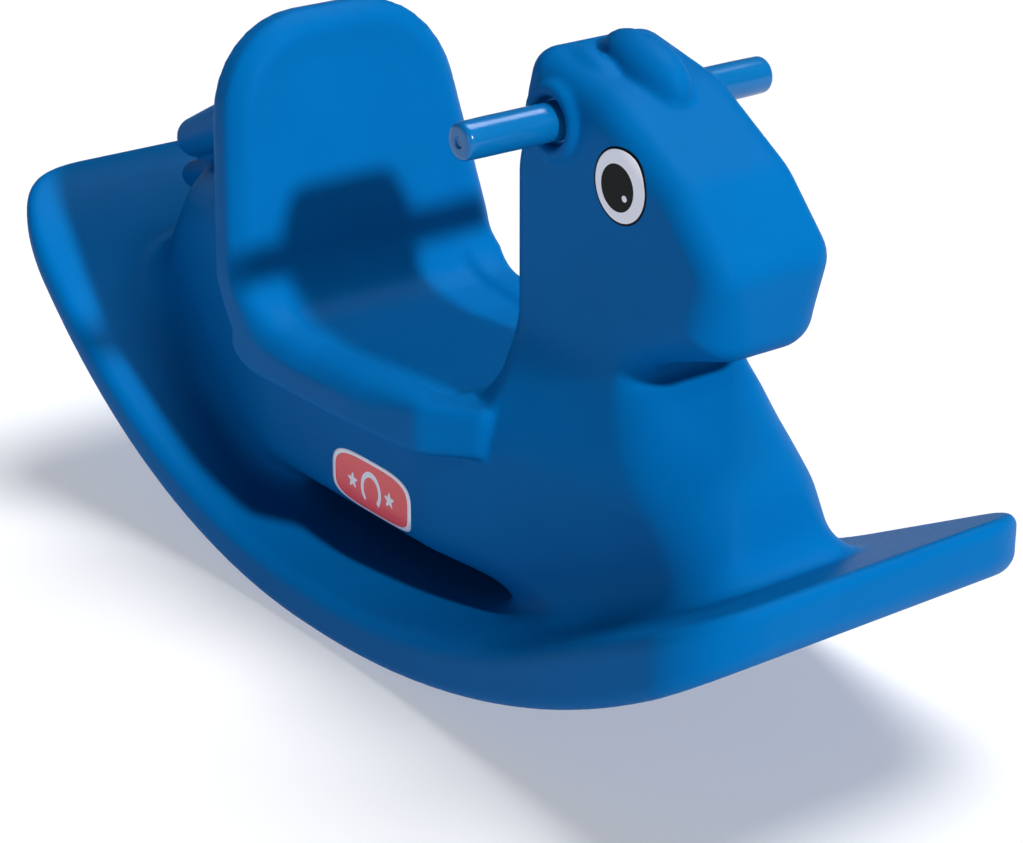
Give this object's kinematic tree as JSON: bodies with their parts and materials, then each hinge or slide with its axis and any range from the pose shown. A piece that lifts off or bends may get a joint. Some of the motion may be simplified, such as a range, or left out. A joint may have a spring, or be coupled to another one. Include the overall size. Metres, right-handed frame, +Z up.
{
  "type": "rocking horse",
  "caption": "Toddler rocking horse: hollow moulded body with curved rocker board, bucket seat with back, horse head, side handles and printed eyes.",
  "frame": {"origin": "centre of the plan outline, on the floor under the rocker board", "axes": "+X towards the nose, +Y towards the horse's left, +Z up"},
  "size_m": [0.845, 0.286, 0.4406],
  "materials": {
    "body_polyethylene": "moulded matte",
    "handle_polyethylene": "smooth semi-gloss",
    "core_rod": "as extruded",
    "eye_print": "printed vinyl",
    "badge_print": "printed vinyl",
    "vent_plug": "moulded matte"
  },
  "bodies": {
    "root": {"body_shell": "body_polyethylene", "handle_right": "handle_polyethylene", "handle_left": "handle_polyethylene", "handle_core_rod": "core_rod", "eye_decal_right": "eye_print", "eye_decal_left": "eye_print", "badge_decal_right": "badge_print", "badge_decal_left": "badge_print", "vent_plug": "vent_plug"}
  },
  "joints": []
}
